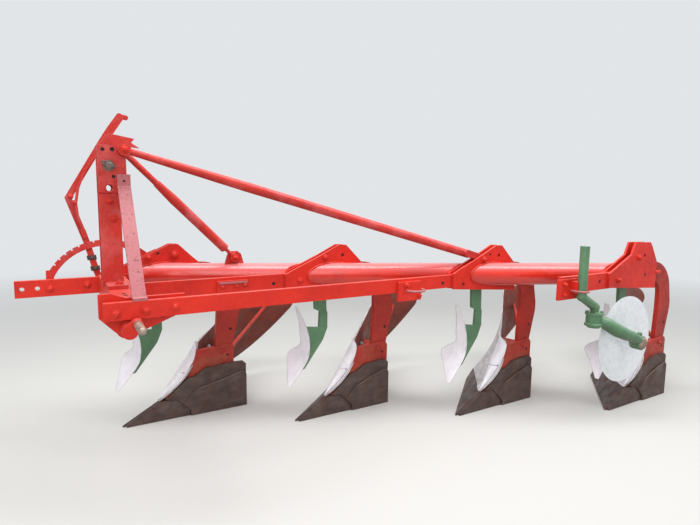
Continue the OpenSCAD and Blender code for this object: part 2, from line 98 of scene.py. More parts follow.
# %% [markdown]
# ## Shader arithmetic
#
# A finish is mostly sums: so much dirt here, less paint there. Node by node that is slow to read, so
# one small class wraps a socket and lets us write the sum itself. A value goes through Math nodes, a
# vector through Vector Math, and a colour through Mix, because a Math node would turn it grey.

# %% Wrap a socket
class Shade:
    """An output socket that can be added, taken away and multiplied."""

    def __init__(self, socket):
        self.socket = socket
        self.tree = socket.id_data

    def combine(self, other, operation, swapped=False):
        first, second = (other, self) if swapped else (self, other)
        kinds = [s.socket.type for s in (first, second) if isinstance(s, Shade)]
        kind = "ShaderNodeVectorMath" if "VECTOR" in kinds else "ShaderNodeMath"
        return make(self.tree, kind, {"operation": operation}, {0: first, 1: second})

    def __add__(self, other):
        return self.combine(other, "ADD")

    def __radd__(self, other):
        return self.combine(other, "ADD", swapped=True)

    def __sub__(self, other):
        return self.combine(other, "SUBTRACT")

    def __rsub__(self, other):
        return self.combine(other, "SUBTRACT", swapped=True)

    def __mul__(self, other):
        return self.combine(other, "MULTIPLY")

    def __rmul__(self, other):
        return self.combine(other, "MULTIPLY", swapped=True)


def plug(node, sockets):
    """Links a Shade to a socket, or writes a plain value into it."""
    for name, value in sockets.items():
        if isinstance(value, Shade):
            node.id_data.links.new(value.socket, node.inputs[name])
        else:
            node.inputs[name].default_value = value


def make(tree, kind, settings=None, sockets=None, out=0):
    """Adds a node: its settings first, then its sockets. Ramp stops are the setting named stops."""
    node = tree.nodes.new(kind)
    for name, value in (settings or {}).items():
        if name == "stops":
            stops = node.color_ramp.elements
            for i, (spot, grey) in enumerate(value):
                stop = stops[i] if i < 2 else stops.new(spot)
                stop.position = spot
                stop.color = (grey, grey, grey, 1)
        else:
            setattr(node, name, value)
    plug(node, sockets or {})
    return Shade(node.outputs[out])


print("a Shade can be added, taken away and multiplied")

# %% [markdown]
# ## Patterns that every finish shares
#
# Paint and steel are never even. Three patterns carry most of that: a noise that is cut by a ramp into
# patches, the way that a surface faces, and the edges, where hands, soil and chains rub first. The noise
# reads the piece's own coordinates, so it stays with the metal when a joint turns.

# %% Patches, faces and edges
EDGE_SAMPLES = 6


def place(tree):
    """The surface's place in the piece's own coordinates."""
    return make(tree, "ShaderNodeTexCoord", out="Object")


def patches(tree, size, low, high, detail=6.0, roughness=0.6, stretch=(1, 1, 1)):
    """Noise patches about size metres across: 0 below low and 1 above high."""
    where = place(tree) * tuple(s / size for s in stretch)
    sockets = {"Vector": where, "Scale": 1.0, "Detail": detail, "Roughness": roughness}
    noise = make(tree, "ShaderNodeTexNoise", {}, sockets)
    return make(tree, "ShaderNodeValToRGB", {"stops": [(low, 0), (high, 1)]}, {"Fac": noise})


def part_of(tree, vector, axis):
    """One of the three parts of a vector."""
    return make(tree, "ShaderNodeSeparateXYZ", {}, {0: vector}, out=axis)


def ramp(tree, value, low, high):
    """0 where value is below low, 1 above high, and a straight line between them."""
    sockets = {"Value": value, "From Min": low, "From Max": high}
    return make(tree, "ShaderNodeMapRange", {"clamp": True}, sockets)


def flat_normal(tree):
    """The way that the surface faces."""
    return make(tree, "ShaderNodeNewGeometry", out="Normal")


def round_normal(tree, radius):
    """The way that the surface would face if its edges were rounded to radius metres."""
    return make(tree, "ShaderNodeBevel", {"samples": EDGE_SAMPLES}, {"Radius": radius})


def facing(tree, low, high, way=1):
    """1 on faces that look at the sky, or with way -1 on those that look at the ground."""
    return ramp(tree, part_of(tree, flat_normal(tree), "Z") * way, low, high)


def edges(tree, radius, width):
    """Where a rounded edge turns away from the flat face: 1 on corners."""
    sockets = {0: round_normal(tree, radius), 1: flat_normal(tree)}
    match = make(tree, "ShaderNodeVectorMath", {"operation": "DOT_PRODUCT"}, sockets, out="Value")
    return ramp(tree, 1 - match, width, 3 * width)


print("edges are sampled", EDGE_SAMPLES, "times")

# %% [markdown]
# ## Colour and relief
#
# A paint chart gives a colour as the eye reads it, but a shader adds up light, so each colour is turned
# into amounts of light first. Colours are then laid over each other by share, as coats of paint are,
# and a bump gives the coats their thickness. A bump moves no point, so the pieces keep their real size.

# %% Colours, coats and bumps
# Sockets of a Mix node that mixes colours: the share, the two colours and the result
MIX_SHARE, MIX_UNDER, MIX_OVER, MIXED = 0, 6, 7, 2


def srgb(red, green, blue):
    """A colour as a paint chart gives it, 0 to 255, as the linear values that a shader wants."""
    def linear(v):
        v /= 255
        return v / 12.92 if v <= 0.04045 else ((v + 0.055) / 1.055) ** 2.4

    return (linear(red), linear(green), linear(blue), 1)


def blend(tree, share, under, over, mode="MIX"):
    """Lays the colour over on the colour under, by share."""
    settings = {"data_type": "RGBA", "blend_type": mode, "clamp_factor": True}
    sockets = {MIX_SHARE: share, MIX_UNDER: under, MIX_OVER: over}
    return make(tree, "ShaderNodeMix", settings, sockets, out=MIXED)


def relief(tree, height, strength, depth, round_edge):
    """A bump from height, on top of softly rounded edges."""
    soft = round_normal(tree, round_edge)
    sockets = {"Height": height, "Strength": strength, "Distance": depth, "Normal": soft}
    return make(tree, "ShaderNodeBump", {}, sockets)


def new_material(name):
    """An empty material with its surface shader, ready for sockets."""
    material = bpy.data.materials.new(name)
    material.use_nodes = True
    shader = material.node_tree.nodes["Principled BSDF"]
    return material, material.node_tree, shader


print("light in a middle grey:", round(srgb(128, 128, 128)[0], 3))

# %% [markdown]
# ## Fresh red paint over an old frame
#
# Somebody has brushed this plough with thick gloss enamel without stripping it first. The colour is a
# hot orange red, darker where it ran or went on thin. Faces that look up are painted lighter and pinker,
# a painted reflection of the sky, and faces that look down are painted darker, a painted shade. It
# sits over old pitting, so the surface is slightly lumpy, and it has chipped to brown on some edges.
#
# A photograph of paint would give all that at once, but it could not be lit again. We build it from
# noise instead: two sizes of patches for the colour, one for the chips, and the same noise as relief.

# %% Brush on the enamel
PAINT_CHIP = srgb(92, 46, 34)
PAINT_DUST = srgb(150, 104, 80)
# What undersides are multiplied by: a painted shade
# PAINTED_UNDERSIDE_SHADE = srgb(190, 140, 130)
PAINTED_UNDERSIDE_SHADE = srgb(190, 140, 130)


def enamel(name, bright, deep, pale_wear_and_sheen, sky_sheen, soiled=0.0, gloss=0.42, coat=0.12, rubbed=0.15,
           chalky=0.0, pitted=0.0):
    """Brushed enamel over pitted steel. Faces that look up are painted lighter, towards the third colour,
    as a painted reflection of the sky, by the amount that follows the colours, and faces that look down
    are painted darker, a painted shade. soiled is the soil on its lowest parts, gloss its roughness, coat
    its varnish, rubbed its pale edges, chalky the pale patches on old paint, and pitted the rust specks
    that come through it. The third colour also gives the rubbed edges and the chalk."""
    material, tree, shader = new_material(name)
    broad = patches(tree, size=0.22, low=0.35, high=0.68)
    fine = patches(tree, size=0.018, low=0.38, high=0.66, detail=4.0)
    colour = blend(tree, broad * 0.7 + fine * 0.2, bright, deep)
    # Faces that look down are painted darker: a painted shade
    shaded_underside = facing(tree, low=-0.05, high=0.8, way=-1)
    colour = blend(tree, shaded_underside * 0.6, colour, PAINTED_UNDERSIDE_SHADE, mode="MULTIPLY")
    # Faces that look up are painted lighter and pinker: a painted reflection of the sky
    sky = facing(tree, low=0.25, high=0.95)
    colour = blend(tree, sky * sky_sheen * (0.65 + 0.35 * broad), colour, pale_wear_and_sheen)
    if chalky:
        chalk = patches(tree, size=0.11, low=0.48, high=0.78, detail=8.0)
        colour = blend(tree, chalk * chalky, colour, pale_wear_and_sheen)
    if pitted:
        pits = patches(tree, size=0.009, low=0.60, high=0.67, detail=3.0)
        colour = blend(tree, pits * pitted, colour, PAINT_CHIP)
    worn_edge = edges(tree, radius=0.004, width=0.05)
    chips = worn_edge * patches(tree, size=0.045, low=0.56, high=0.60, detail=8.0, roughness=0.7)
    colour = blend(tree, worn_edge * rubbed, colour, pale_wear_and_sheen)
    colour = blend(tree, chips * 0.8, colour, PAINT_CHIP)
    near_ground = 1 - ramp(tree, part_of(tree, place(tree), "Z"), low=0.08, high=0.42)
    soil = near_ground * patches(tree, size=0.06, low=0.40, high=0.62, detail=9.0) * soiled
    colour = blend(tree, soil, colour, PAINT_DUST)
    plug(shader, {
        "Base Color": colour,
        "Roughness": gloss + 0.18 * fine + 0.35 * soil + 0.3 * chips,
        "Coat Weight": coat - coat * soil,
        "Coat Roughness": 0.2,
        "Specular IOR Level": 0.3,
        "Normal": relief(tree, fine * 0.6 + broad, strength=0.25, depth=0.0012, round_edge=0.003),
    })
    return material


print("paint chips to:", [round(v, 3) for v in PAINT_CHIP[:3]])

# %% [markdown]
# ## Six reds and a green
#
# The bars and brackets are the freshest. The tubes kept their gloss and have a painted highlight, pink
# along the top, the headstock is older and chalky, the legs and frogs are soiled, and the side brace of
# the mast is pink all over, a painted sky reflection, with rust showing through. All of them are the one
# recipe with other amounts, because it is one paint that has aged in different places, and each also
# takes more or less painted sky reflection on its upper faces. The carriers of the skimmers and of the
# coulter are a cool sage green, aged in the same way.

# %% Mix the reds and the green
# Bright, deep and pale pink. In every paint here the third colour is the painted sky reflection on faces that
# look up, and also the pale of rubbed edges and chalk
FRESH_RED = srgb(224, 45, 26), srgb(184, 28, 17), srgb(244, 120, 110)
# Pink of the painted highlight along the tops of the tubes; it also pales their rubbed edges
TUBE_HIGHLIGHT_AND_WEAR_PINK = srgb(252, 158, 162)

red_paint = enamel("red_enamel", *FRESH_RED, sky_sheen=0.4)
tube_paint = enamel("red_enamel_on_tube", *FRESH_RED[:2], TUBE_HIGHLIGHT_AND_WEAR_PINK, sky_sheen=0.7, gloss=0.3, coat=0.8)
bolt_paint = enamel("red_enamel_on_bolts", *FRESH_RED, sky_sheen=0.25, rubbed=0.06)
low_red = enamel("red_enamel_soiled", srgb(182, 46, 34), srgb(124, 29, 21), srgb(198, 92, 80),
                 sky_sheen=0.25, soiled=0.8, gloss=0.48)
old_paint = enamel("red_enamel_on_headstock", srgb(208, 52, 42), srgb(168, 34, 27), srgb(240, 138, 138),
                   sky_sheen=0.45, chalky=0.4, pitted=0.3)
# Its pink colours are a painted sky reflection all over; the rust specks and the chalk patches are real
faded_paint = enamel("faded_enamel_painted_sheen", srgb(184, 112, 116), srgb(164, 78, 82), srgb(206, 150, 152),
                     sky_sheen=0.3, chalky=0.3, pitted=0.75)
green_paint = enamel("green_enamel", srgb(96, 138, 102), srgb(64, 100, 70), srgb(166, 192, 166),
                     sky_sheen=0.45, soiled=0.2, coat=0.3)
print("paints:", red_paint.name, tube_paint.name, old_paint.name, faded_paint.name, green_paint.name)

# %% [markdown]
# ## Whitened blades
#
# The skimmer blades, the shins and the disc have a thin white coat over scratched steel, and so has the
# face of each moldboard, where little of it is left. Such a coat looks chalky and speckled rather than
# shiny. So we wear it through twice: in fine specks, and in streaks along the way that the soil goes.

# %% Whiten the blades
RUBBED_RIM = srgb(150, 150, 152)


def whitened(name, coat, under, wear, streak):
    """Steel under a thin pale coat, worn through in specks and in streaks along the soil's path."""
    material, tree, shader = new_material(name)
    specks = patches(tree, size=0.006, low=0.50, high=0.60, detail=8.0, roughness=0.75)
    cloud = patches(tree, size=0.10, low=0.30, high=0.72)
    scoured = patches(tree, size=0.030, low=0.42, high=0.70, detail=5.0, stretch=streak)
    bare = (specks * 0.55 + scoured * 0.45) * wear + cloud * 0.15
    colour = blend(tree, bare, coat, under)
    colour = blend(tree, edges(tree, radius=0.003, width=0.05) * 0.5, colour, RUBBED_RIM)
    plug(shader, {
        "Base Color": colour,
        "Metallic": 0.55 * bare,
        "Roughness": 0.62 - 0.2 * bare,
        "Normal": relief(tree, specks + scoured * 0.5, strength=0.22, depth=0.0006, round_edge=0.0015),
    })
    return material


white_blade = whitened("white_blade", srgb(240, 237, 243), srgb(172, 172, 178),
                       wear=0.35, streak=(1, 1, 0.25))
white_disc = whitened("white_disc", srgb(236, 239, 243), srgb(176, 180, 186),
                      wear=0.42, streak=(1, 1, 1))
worn_face = whitened("worn_face", srgb(206, 203, 204), srgb(112, 96, 92),
                     wear=1.0, streak=(0.3, 0.3, 1))
print("pale finishes:", white_blade.name, white_disc.name, worn_face.name)

# %% [markdown]
# ## Bare steel
#
# The shares and landsides have been in the ground: dark, scoured along the furrow, with brown soil on
# them. The back of a moldboard shows red over brown, and only the pins that the tractor's links rub are
# clean. Four steels come from one recipe of streaks, crust and grit. The inside of a drilled hole is
# plainer: a dark painted shade with fine flecks, which stands in for the shade in its depth.

# %% Scour the steel
# Flecks in the painted shade inside a hole
HOLE_SHADE_FLECK = srgb(62, 34, 28)


def ground_steel(name, bright, dark, rust, shine, rust_share):
    """Steel that works in the ground: scoured bright in streaks, dark and rusty where it isn't."""
    material, tree, shader = new_material(name)
    streaks = patches(tree, size=0.045, low=0.30, high=0.80, detail=5.0, stretch=(0.6, 1, 1))
    crust = patches(tree, size=0.07, low=0.42, high=0.60, detail=10.0, roughness=0.7)
    grit = patches(tree, size=0.004, low=0.40, high=0.70, detail=4.0)
    colour = blend(tree, streaks, dark, bright)
    colour = blend(tree, crust * rust_share, colour, rust)
    colour = blend(tree, edges(tree, radius=0.004, width=0.05) * 0.5, colour, bright)
    plug(shader, {
        "Base Color": colour,
        "Metallic": shine * (1 - crust * rust_share),
        "Roughness": 0.42 + 0.3 * crust + 0.12 * grit,
        "Normal": relief(tree, crust * 0.7 + grit * 0.3, strength=0.4, depth=0.0015, round_edge=0.003),
    })
    return material


def painted_shade_in_hole(name, colour):
    """A painted shade for the dark inside of a drilled hole, with fine flecks."""
    material, tree, shader = new_material(name)
    grit = patches(tree, size=0.004, low=0.35, high=0.70)
    plug(shader, {
        "Base Color": blend(tree, grit, colour, HOLE_SHADE_FLECK),
        "Roughness": 0.75 + 0.15 * grit,
        "Normal": relief(tree, grit, strength=0.3, depth=0.0005, round_edge=0.001),
    })
    return material


dark_steel = ground_steel("soil_worn_steel", srgb(104, 86, 80), srgb(56, 44, 42), srgb(84, 55, 46),
                          shine=0.2, rust_share=0.5)
board_steel = ground_steel("board_steel", srgb(120, 56, 38), srgb(82, 40, 28), srgb(128, 40, 26),
                           shine=0.05, rust_share=0.6)
bare_steel = ground_steel("bare_steel", srgb(206, 190, 172), srgb(128, 112, 100), srgb(128, 82, 58),
                          shine=0.8, rust_share=0.35)
rubbed_steel = ground_steel("rubbed_steel", srgb(136, 122, 116), srgb(92, 76, 70), srgb(92, 60, 48),
                            shine=0.3, rust_share=0.5)
# Painted shade: a near black that stands in for the shade in a hole's depth
hole_shade = painted_shade_in_hole("painted_hole_shade", srgb(34, 20, 18))
print("steels:", dark_steel.name, board_steel.name, bare_steel.name, rubbed_steel.name, hole_shade.name)

# %% [markdown]
# ## Which piece has which finish
#
# The record of the frame names one finish for each node. We go by that name, and single out the tubes,
# whose paint has kept its gloss, the headstock, whose older paint has gone chalky, and the parts near
# the ground, whose paint is soiled.

# %% Give each piece its finish
FINISHES = {
    "red_paint": red_paint,
    # The faded paint's pink is a painted sky reflection
    "faded_paint": faded_paint,
    "green_paint": green_paint,
    "pale_steel": white_blade,
    "board_steel": board_steel,
    "dark_steel": dark_steel,
    "bare_steel": bare_steel,
}
SOILED = ("leg", "frog")
HEADSTOCK = ("mast", "lever", "latch_rod", "quadrant", "brace_")

slot_of = {part["node"]: part["material_slot"] for part in frame["record"]["subparts"]}


def finish_for(node):
    """The finish of a node: by its slot, unless it is soiled, on the headstock, a tube or the disc."""
    if node.startswith(SOILED):
        return low_red
    if node.startswith(HEADSTOCK):
        return old_paint
    if node.startswith("tube"):
        return tube_paint
    if node == "coulter_disc":
        return white_disc
    return FINISHES[slot_of[node]]


for node, piece in frame["nodes"].items():
    piece.data.materials.clear()
    piece.data.materials.append(finish_for(node))
print("pieces finished:", len(frame["nodes"]))

# %% [markdown]
# ## Pieces of our own
#
# The frame gives the structure. What it leaves out is small or curved: nuts, washers, pins with turned
# ends, a cast arm, pressed plates. Three tools are enough for them. A press joins rows of points into a
# curved plate, a bender carries a circle along a path, and a lathe turns a profile about an axis. Each
# writes into a workpiece, which is one bmesh, so that a whole set of bolts becomes a single piece.

# %% The workpiece
X, Y, Z = Vector((1, 0, 0)), Vector((0, 1, 0)), Vector((0, 0, 1))
# Points closer than this become one
MERGE_WITHIN = 0.02 * MM


class Workpiece:
    """Faces gathered in one mesh, in metres, that end as one piece riding on one body."""

    def __init__(self):
        self.mesh = bmesh.new()

    def face(self, corners, material):
        """One face on points that are already there."""
        self.mesh.faces.new(corners).material_index = material

    def join(self, rows, around=False, material=0):
        """Joins rows of points into quads. around also closes each row on itself."""
        made = [[self.mesh.verts.new(point) for point in row] for row in rows]
        count = len(made[0])
        for lower, upper in zip(made, made[1:]):
            for i in range(count if around else count - 1):
                k = (i + 1) % count
                self.face((lower[i], lower[k], upper[k], upper[i]), material)
        return made

    def done(self, name, body, slot, *materials, sharp=32, stands_for=()):
        """Ends the work: one object on its body, smooth where faces meet at less than sharp degrees."""
        bmesh.ops.remove_doubles(self.mesh, verts=self.mesh.verts, dist=MERGE_WITHIN)
        bmesh.ops.recalc_face_normals(self.mesh, faces=self.mesh.faces)
        data = bpy.data.meshes.new(name)
        self.mesh.to_mesh(data)
        self.mesh.free()
        data.polygons.foreach_set("use_smooth", [True] * len(data.polygons))
        data.set_sharp_from_angle(angle=math.radians(sharp))
        for material in materials:
            data.materials.append(material)
        piece = bpy.data.objects.new(name, data)
        bpy.context.scene.collection.objects.link(piece)
        if stands_for:
            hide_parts(*stands_for)
        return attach(piece, body)


print("a workpiece merges points within", MERGE_WITHIN / MM, "mm")

# %% [markdown]
# ## The moldboards
#
# The moldboard is the heart of a plough. It starts steep at the shin, where it lifts the slice, and
# leans over towards the tail, where it lays the slice down. Such a plate is pressed from one blank, so
# one rule describes it: a lower edge, an upper edge, and a hollow between them that eases towards the
# tail. We follow the same rule as the frame's plate, at three times its steps, so the light runs
# smoothly along it.

# %% The rule of a moldboard
SHARE_TOP = Vector((96, -8, 104))
SHARE_WING = Vector((-225, -372, 74))
SHIN_TOP = Vector((-122, -73, 370))
SHOULDER = Vector((-496, -400, 560))
LOW_TAIL = Vector((-835, -450, 420))
HIGH_TAIL = Vector((-840, -470, 530))
# Where the curves from the wing and from the shoulder to the tail are pulled to
LOW_PULL = Vector((-500, -450, 110))
HIGH_PULL = Vector((-640, -500, 600))
# Share of the way to the tail at which the straight part of each edge ends
LOW_STRAIGHT, HIGH_STRAIGHT = 0.4, 0.6
HOLLOW = 62
HOLLOW_WAY = Vector((-0.656, 0.755, 0))
HOLLOW_EASE = 0.6


def curve(start, pull, end, t):
    """A point of the curve that leaves start towards pull and arrives at end."""
    return start * (1 - t) ** 2 + pull * 2 * t * (1 - t) + end * t * t


def edge_point(start, corner, pull, tail, straight, u):
    """A point of an edge that runs straight to its corner, and from there in a curve to the tail."""
    if u < straight:
        return start.lerp(corner, u / straight)
    return curve(corner, pull, tail, (u - straight) / (1 - straight))


def moldboard_point(u, v):
    """u runs from the shin to the tail, v from the share up to the top edge."""
    low = edge_point(SHARE_TOP, SHARE_WING, LOW_PULL, LOW_TAIL, LOW_STRAIGHT, u)
    high = edge_point(SHIN_TOP, SHOULDER, HIGH_PULL, HIGH_TAIL, HIGH_STRAIGHT, u)
    hollow = 4 * v * (1 - v) * HOLLOW * (1 - HOLLOW_EASE * u)
    return low.lerp(high, v) + hollow * HOLLOW_WAY


print("middle of a moldboard in mm:", [round(v) for v in moldboard_point(0.5, 0.5)])

# %% [markdown]
# ## Pressing them
#
# The face that meets the soil was brushed white for the winter and has gone speckled. The back keeps a
# thin red over brown. The shin is a separate wearing strip, bolted over the leading edge, so it is a
# narrow plate that stands a few millimetres off the face.

# %% The press
def plate(work, rows, back, back_material=0):
    """A curved plate: the rows are its front, and back is the step to its back."""
    front = work.join(rows)
    behind = work.join([[point + back for point in row] for row in rows], material=back_material)
    loops = []
    for sheet in (front, behind):
        last = [row[-1] for row in sheet]
        first = [row[0] for row in sheet]
        loops.append(sheet[0] + last[1:] + sheet[-1][-2::-1] + first[-2:0:-1])
    count = len(loops[0])
    for i in range(count):
        k = (i + 1) % count
        work.face((loops[0][i], loops[1][i], loops[1][k], loops[0][k]), 0)


print("press ready")

# %% Press the moldboards
MOLD_BACK = Vector((-0.62, 0.70, -0.36)) * 8
BACKWARD = MOLD_BACK.normalized()
STEPS_UP = 21
# Steps towards the tail, span of u, lift off the frame's face, and thickness
BOARD = (42, (0, 1), -0.5, 7.3)
SHIN = (4, (0.001, 0.075), 5, 4.6)


def press(work, n, steps, span, lift, thickness, back_material):
    """Presses the part of moldboard n that spans u, lifted off its face, as a plate."""
    rows = []
    for i in range(steps + 1):
        u = span[0] + (span[1] - span[0]) * i / steps
        points = [moldboard_point(u, j / STEPS_UP) - lift * BACKWARD for j in range(STEPS_UP + 1)]
        rows.append([at(n, *point) for point in points])
    plate(work, rows, thickness * MM * BACKWARD, back_material=back_material)


for n in BODIES:
    board = Workpiece()
    press(board, n, *BOARD, back_material=1)
    board.done(f"smooth_moldboard_{n}", "frame", "board_steel", worn_face, board_steel,
               stands_for=(f"moldboard_{n}",))
    shin = Workpiece()
    press(shin, n, *SHIN, back_material=0)
    shin.done(f"shin_{n}", "frame", "pale_steel", white_blade)
print("moldboards and shins pressed:", len(BODIES))

# %% [markdown]
# ## The land side of the shin
#
# The shin wraps round to the land side, where it closes the gap to the frog. Below it the nose of the
# share does the same, down to the share's own top. Both are forged over a round corner. So each is a
# plate whose front edge lies on the shin, whose rear edge follows a short list of points, and which
# bulges in between.

# %% Wrap the shin
# Height, and the place of the strip's rear edge on the land side
SHIN_WRAP = ((372, -118, -60), (358, -108, -16), (342, -99, 3), (320, -95, 3), (300, -89, 3), (280, -80, 3),
             (263, -69, 3), (248, -60, 3), (232, -51, 3))
NOSE_WRAP = ((229, -42, 3), (220, -32, 3), (206, -18, 3), (190, -2, 3), (174, 15, 3), (158, 36, 3),
             (140, 61, 3), (124, 83, 2), (108, 97, -4))
WRAP_STEPS = 6
WRAP_LIFT = Vector((5, 2, 1))
WRAP_BACK = Vector((-3.6, -1.6, -1.2))
WRAP_BULGE = Vector((14, 6, 3))
# The bulge starts at this height and is full that much higher
BULGE_FROM, BULGE_RISE = 100, 60


def wrap_row(n, z, x, y):
    """A row of the wrap at height z, from the shin's edge to the rear edge."""
    front = SHARE_TOP.lerp(SHIN_TOP, (z - SHARE_TOP.z) / (SHIN_TOP.z - SHARE_TOP.z))
    rear = Vector((x, y, z))
    bulge = min(1, (z - BULGE_FROM) / BULGE_RISE) * WRAP_BULGE
    shares = [j / WRAP_STEPS for j in range(WRAP_STEPS + 1)]
    return [at(n, *(front.lerp(rear, t) + WRAP_LIFT + 4 * t * (1 - t) * bulge)) for t in shares]


for n in BODIES:
    wrap = Workpiece()
    for table in (SHIN_WRAP, NOSE_WRAP):
        plate(wrap, [wrap_row(n, z, x, y) for z, x, y in table], WRAP_BACK * MM)
    wrap.done(f"land_shin_{n}", "frame", "pale_steel", white_blade, sharp=50)
print("rows in a wrap:", len(SHIN_WRAP) + len(NOSE_WRAP))

# %% [markdown]
# ## The rubbed ridge of a landside
#
# The landside slides along the furrow wall and carries the side thrust of the whole body. A thicker bar
# runs along its sole, and the bar's upper edge is rubbed bright by the wall. We lay a thin rounded ridge
# over that edge, because wear makes a round edge and the frame's edge is sharp.
#
# The bender makes it. At each point of the path it turns its circle by no more than the path turns, so
# the rod doesn't twist.

# %% The bender
def circle(centre, across, other, radius, sides, turn=0.0):
    """Points of a circle about centre, in the plane of two unit vectors."""
    angles = [turn + 2 * math.pi * k / sides for k in range(sides)]
    return [centre + radius * (across * math.cos(a) + other * math.sin(a)) for a in angles]


def bend(work, path, radii, sides, material=0):
    """Carries a circle along a path. radii, in millimetres, has one value for each point."""
    rows = []
    ahead = (path[1] - path[0]).normalized()
    across = ahead.orthogonal().normalized()
    for i, point in enumerate(path):
        before, after = path[max(i - 1, 0)], path[min(i + 1, len(path) - 1)]
        heading = (after - before).normalized()
        across = ahead.rotation_difference(heading) @ across
        ahead = heading
        rows.append(circle(point, across, ahead.cross(across), radii[i] * MM, sides))
    made = work.join(rows, around=True, material=material)
    work.face(made[0], material)
    work.face(made[-1], material)


print("bender ready")

# %% Rub the landsides
SOLE_BAR_FACE = 23
# Rear ends of the landsides: the first body's is longer
FIRST_REAR, OTHER_REAR = -366, -300
# How far the middle of the ridge lies inside the bar's face and below its edge
SUNK_IN, SUNK_DOWN = 1.5, 1
RIDGE_RADII = (1.5, 2.6, 2.8, 2.6, 1.5)

for n in BODIES:
    rear = FIRST_REAR if n == 1 else OTHER_REAR
    edge = ((-84, 132), (-117, 145.5), (rear + 120, 173), (rear + 30, 198), (rear + 10, 194.5))
    ridge = Workpiece()
    path = [at(n, x, SOLE_BAR_FACE - SUNK_IN, z - SUNK_DOWN) for x, z in edge]
    bend(ridge, path, RIDGE_RADII, sides=12)
    ridge.done(f"landside_ridge_{n}", "frame", "dark_steel", rubbed_steel)
print("landsides rubbed:", len(BODIES))

# %% [markdown]
# ## Skimmer blades
#
# Ahead of each body a small blade pares off the turf and rolls it into the furrow. It is a miniature
# moldboard of thin steel: a tall narrow neck above, a wing that curls to the right, and a point. Seven
# rows of two points say where its edges go, and a smooth line through them gives the rows between.

# %% Press the skimmer blades
SKIM_BACK = Vector((-3.7, 4.2, -2.2))
# Land edge and wing edge, from the point up to the neck
SKIM_ROWS = (
    ((285, -46, 172), (288, -60, 172)),
    ((215, -48, 252), (264, -112, 246)),
    ((176, -49, 312), (236, -168, 318)),
    ((166, -50, 372), (195, -105, 376)),
    ((170, -50, 425), (197, -101, 436)),
    ((186, -50, 482), (207, -90, 500)),
    ((236, -52, 592), (240, -66, 594)),
)
SKIM_STEPS_UP, SKIM_STEPS_ACROSS = 5, 6
last_row = len(SKIM_ROWS) - 1


def between_rows(t):
    """The land and wing edge at t rows up, on a smooth line through the rows."""
    i = min(int(t), last_row - 1)
    share = t - i
    near_rows = [SKIM_ROWS[min(max(i + s, 0), last_row)] for s in (-1, 0, 1, 2)]
    pair = []
    for edge in (0, 1):
        before, here, there, beyond = [Vector(row[edge]) for row in near_rows]
        leave, arrive = (there - before) / 2, (beyond - here) / 2
        pair.append(here + share * leave
                    + share ** 2 * (3 * (there - here) - 2 * leave - arrive)
                    + share ** 3 * (2 * (here - there) + leave + arrive))
    return pair


for n in BODIES:
    blade = Workpiece()
    rows = []
    for i in range(last_row * SKIM_STEPS_UP + 1):
        land, wing = between_rows(i / SKIM_STEPS_UP)
        rows.append([at(n, *land.lerp(wing, j / SKIM_STEPS_ACROSS)) for j in range(SKIM_STEPS_ACROSS + 1)])
    plate(blade, rows, SKIM_BACK * MM)
    blade.done(f"smooth_skimmer_{n}", "frame", "pale_steel", white_blade, sharp=60,
               stands_for=(f"skimmer_blade_{n}",))
print("skimmer blades pressed:", len(BODIES))

# %% [markdown]
# ## The cross shaft and its pins
#
# A tractor lifts the plough by two pins, forged with a crank at each end of a shaft that turns in its
# plates. The cranks are painted with the frame, but nobody paints a pin: the ball of the link would rub
# it bare in an hour. So shaft and cranks are red, and the turned, rounded pins are steel.
#
# The lathe makes all that is round. The cranks are flat, so they are slabs cut to an outline.

# %% The lathe and the slab
# A lathe's tip is this small, in millimetres, so that its points become one
TIP_R = 0.01


def lathe(work, spot, axis, profile, sides=32, closed=False, turn=0.0, material=0):
    """Turns (distance along the axis, radius) pairs in millimetres about the axis through spot."""
    axis = Vector(axis).normalized()
    across = axis.orthogonal().normalized()
    other = axis.cross(across)
    rows = [circle(spot + axis * reach * MM, across, other, max(radius, TIP_R) * MM, sides, turn)
            for reach, radius in profile]
    if closed:
        rows.append(rows[0])
    made = work.join(rows, around=True, material=material)
    if not closed:
        work.face(made[0], material)
        work.face(made[-1], material)


def slab(work, outline, step, material=0):
    """A flat outline of points, carried along step."""
    ends = [outline, [point + step for point in outline]]
    work.join(ends, around=True, material=material)
    for end in ends:
        work.face([work.mesh.verts.new(point) for point in end], material)


print("lathe and slab ready")

# %% Measure the shaft and the pins
# The two axes as seen from the side, x and z
SHAFT = (303, 663)
PIN = (277.8, 690.1)
SHAFT_R, CRANK_R, CRANK_END_R, PIN_R = 20, 27, 20, 14.35
CRANK_T = 16
CRANK_STEPS = 16
NEAR_CRANK, FAR_CRANK = 715, -94
# The shaft ends this deep in the far crank, and twice as deep in the near one
SHAFT_INSET = 4
PIN_LENGTH = 125
PIN_TURNING = [(-1, PIN_R), (PIN_LENGTH - 16, PIN_R), (PIN_LENGTH - 8, 12.5), (PIN_LENGTH - 2, 8.5),
               (PIN_LENGTH, 5), (PIN_LENGTH, 0)]
SHOULDER_TURNING = [(-0.5, 18.5), (3, 18.5), (5, 16)]
# Barrel that keeps the near crank off the lobe plate
BARREL_START = 658
BARREL_TURNING = [(0, 22), (2, 26), (50, 26), (57, 24)]
# The linch pin's hole: from the pin's axis, from its end, and the way it leans
LINCH_X, LINCH_Z, LINCH_FROM_END = 9.2, 11.0, 24
LINCH_WAY = (0.64, 0, 0.77)
LINCH_RIM = [(-2, 4.6), (0.5, 4.6), (0.5, 3.4), (-1, 3.2)]


